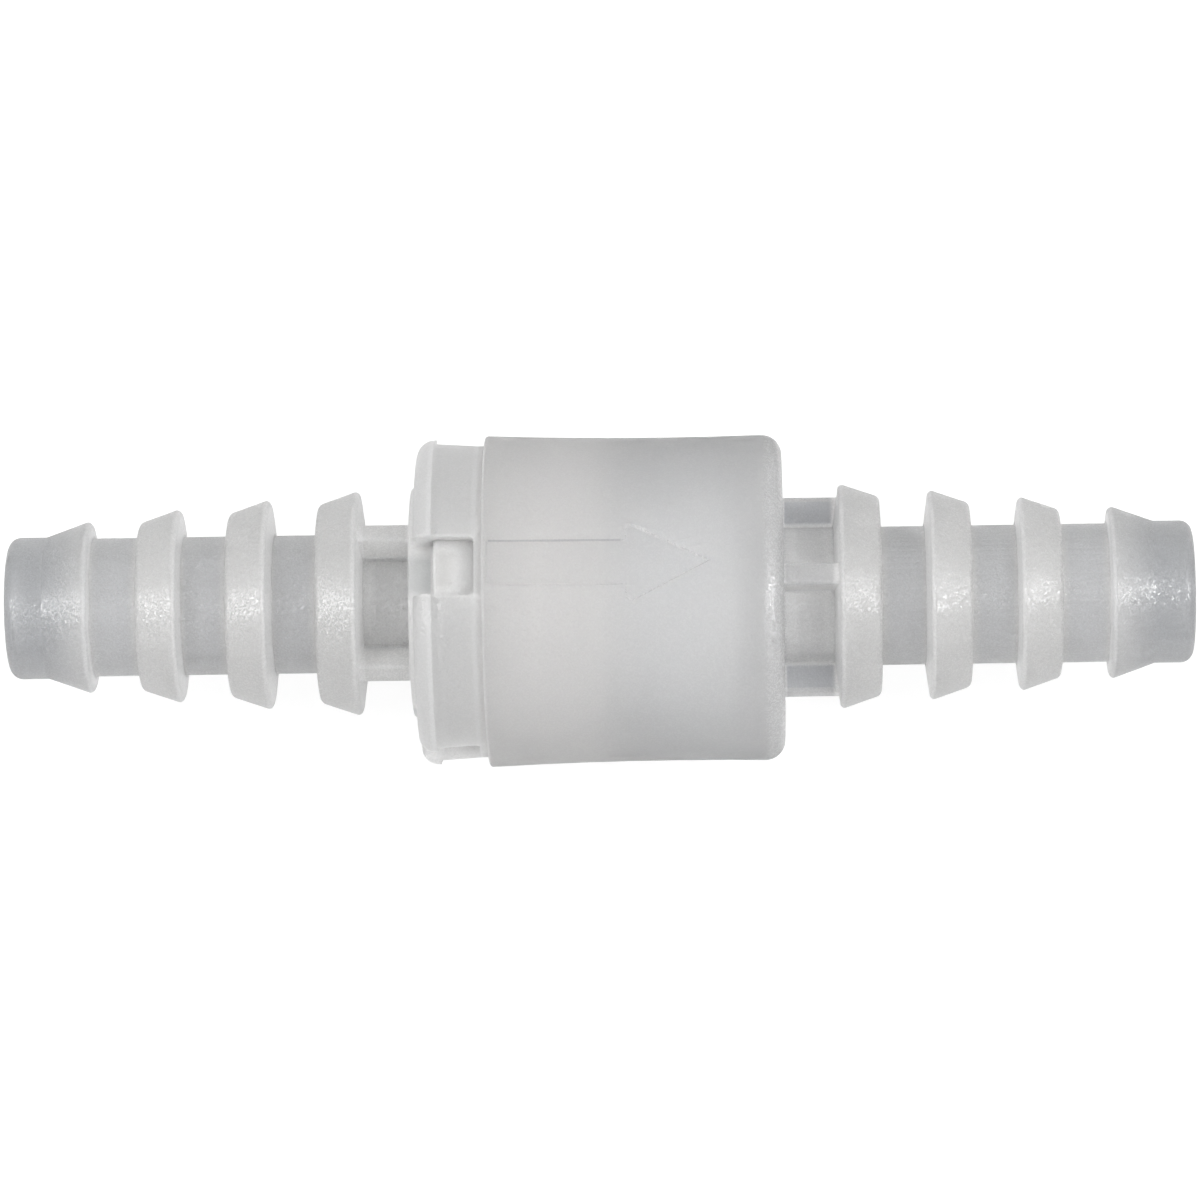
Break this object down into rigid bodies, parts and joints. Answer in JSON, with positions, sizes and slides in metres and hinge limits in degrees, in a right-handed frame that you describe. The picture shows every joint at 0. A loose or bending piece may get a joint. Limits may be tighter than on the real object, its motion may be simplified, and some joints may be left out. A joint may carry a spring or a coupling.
{
  "type": "inline air filter",
  "caption": "Snap-together inline air filter in milky translucent plastic with stepped hose barbs at both ends and a short round barrel that holds a disc filter pack.",
  "frame": {"origin": "on the common axis, half way between the two spigot ends", "axes": "+X along the flow, from the inlet cap to the outlet housing; +Z through one of the four slots between the snap fingers, the side that carries the flow arrow; the filter hangs in its hoses and would lie on its barrel on a plane at -Z"},
  "size_m": [0.0684, 0.0192, 0.0192],
  "materials": {
    "natural_plastic": "milky translucent, fine satin grain",
    "seal_rubber": "clear soft rubber",
    "screen_plastic": "white satin",
    "filter_fibre": "white bonded fibre",
    "filter_film": "smooth white film"
  },
  "bodies": {
    "housing": {"outlet_housing": "natural_plastic", "inlet_screen": "screen_plastic", "prefilter_pad": "filter_fibre", "filter_membrane": "filter_film", "outlet_screen": "screen_plastic"},
    "cap": {"inlet_cap": "natural_plastic", "seal_ring": "seal_rubber"}
  },
  "joints": [
    {"name": "cap_swivel", "type": "hinge", "parent": "housing", "child": "cap", "pos_m": [-0.00698, 0, 0], "axis": [1, 0, 0], "continuous": true}
  ]
}
